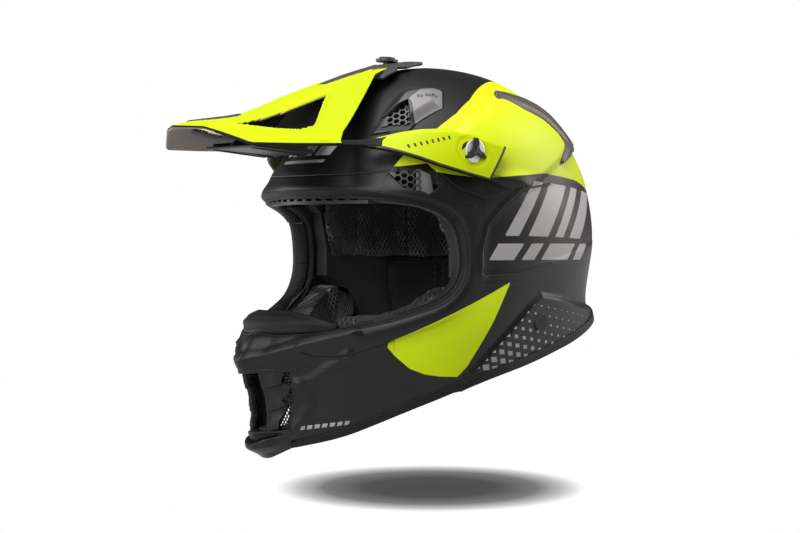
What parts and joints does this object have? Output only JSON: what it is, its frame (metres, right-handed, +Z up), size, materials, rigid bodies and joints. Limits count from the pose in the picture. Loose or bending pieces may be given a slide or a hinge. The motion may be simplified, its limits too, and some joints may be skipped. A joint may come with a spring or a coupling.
{
  "type": "motocross helmet",
  "caption": "Full-face off-road helmet with a long tilting sun peak, open eye port, vented chin bar, padded fabric lining and a buckled chin strap.",
  "frame": {"origin": "middle of the wearer's head at eye level, inside the lining", "axes": "faces -Y, +X is the wearer's left, +Z up, in the pose in which it is worn"},
  "size_m": [0.2506, 0.3992, 0.321],
  "materials": {
    "shell_black": "satin black moulded shell with painted graphics",
    "peak_yellow": "fluorescent yellow, satin gloss",
    "trim_black": "fine grained matt black",
    "grille_black": "matt black",
    "vent_grey": "satin warm grey",
    "spoiler_grey": "satin dark warm grey",
    "edge_rubber": "matt rubber",
    "foam_black": "beaded impact foam",
    "lining": "perforated mesh fabric over foam",
    "webbing": "ribbed woven webbing",
    "screw_metal": "turned, satin",
    "ring_steel": "polished wire",
    "nut_brass": "plain"
  },
  "bodies": {
    "helmet": {"breath_guard": "edge_rubber", "brow_vent_grille_left": "grille_black", "brow_vent_grille_right": "grille_black", "brow_vent_strip": "trim_black", "cheek_core_left": "foam_black", "cheek_core_right": "foam_black", "cheek_pad_left": "lining", "cheek_pad_right": "lining", "cheek_snaps_left": "trim_black", "cheek_snaps_right": "trim_black", "chin_foam": "foam_black", "chin_grille_left": "grille_black", "chin_grille_right": "grille_black", "chin_louvres_left": "trim_black", "chin_louvres_right": "trim_black", "chin_lower_lip": "trim_black", "chin_vent_housing": "trim_black", "crown_foam": "foam_black", "crown_liner": "lining", "exhaust_grille_left": "grille_black", "exhaust_grille_right": "grille_black", "eye_port_trim": "edge_rubber", "forehead_pad": "lining", "neck_edge_trim": "edge_rubber", "neck_roll": "lining", "outer_shell": "shell_black", "peak_nut_left": "nut_brass", "peak_nut_right": "nut_brass", "peak_spacer_left": "edge_rubber", "peak_spacer_right": "edge_rubber", "peak_top_nut": "nut_brass", "rear_spoiler": "spoiler_grey", "strap_rivet_left": "screw_metal", "strap_rivet_right": "screw_metal", "top_vent_grille_left": "grille_black", "top_vent_grille_right": "grille_black", "top_vent_scoop_left": "vent_grey", "top_vent_scoop_right": "vent_grey"},
    "peak_unit": {"peak": "peak_yellow", "peak_lower_deck": "trim_black", "peak_braces": "trim_black", "peak_centre_strip": "trim_black"},
    "screw_left": {"peak_screw_left": "screw_metal"},
    "screw_right": {"peak_screw_right": "screw_metal"},
    "screw_top": {"peak_top_screw": "trim_black"},
    "chin_strap": {"strap_web_left": "webbing", "strap_web_right": "webbing", "d_ring_inner": "ring_steel", "d_ring_outer": "ring_steel", "strap_pad_left": "lining", "strap_pad_right": "lining"}
  },
  "joints": [
    {"name": "peak_tilt", "type": "hinge", "parent": "helmet", "child": "peak_unit", "pos_m": [0, -0.056, 0.0975], "axis": [1, 0, 0], "range_deg": [0, 8]},
    {"name": "peak_screw_left_turn", "type": "hinge", "parent": "helmet", "child": "screw_left", "pos_m": [0.115, -0.056, 0.0975], "axis": [1, 0, 0], "continuous": true},
    {"name": "peak_screw_right_turn", "type": "hinge", "parent": "helmet", "child": "screw_right", "pos_m": [-0.115, -0.056, 0.0975], "axis": [1, 0, 0], "continuous": true},
    {"name": "peak_top_screw_turn", "type": "hinge", "parent": "helmet", "child": "screw_top", "pos_m": [0, -0.05002, 0.17126], "axis": [0, 0.0808, 0.9967], "continuous": true},
    {"name": "chin_strap_swing", "type": "hinge", "parent": "helmet", "child": "chin_strap", "pos_m": [0, 0.012, -0.036], "axis": [1, 0, 0], "range_deg": [-2, 14]}
  ]
}
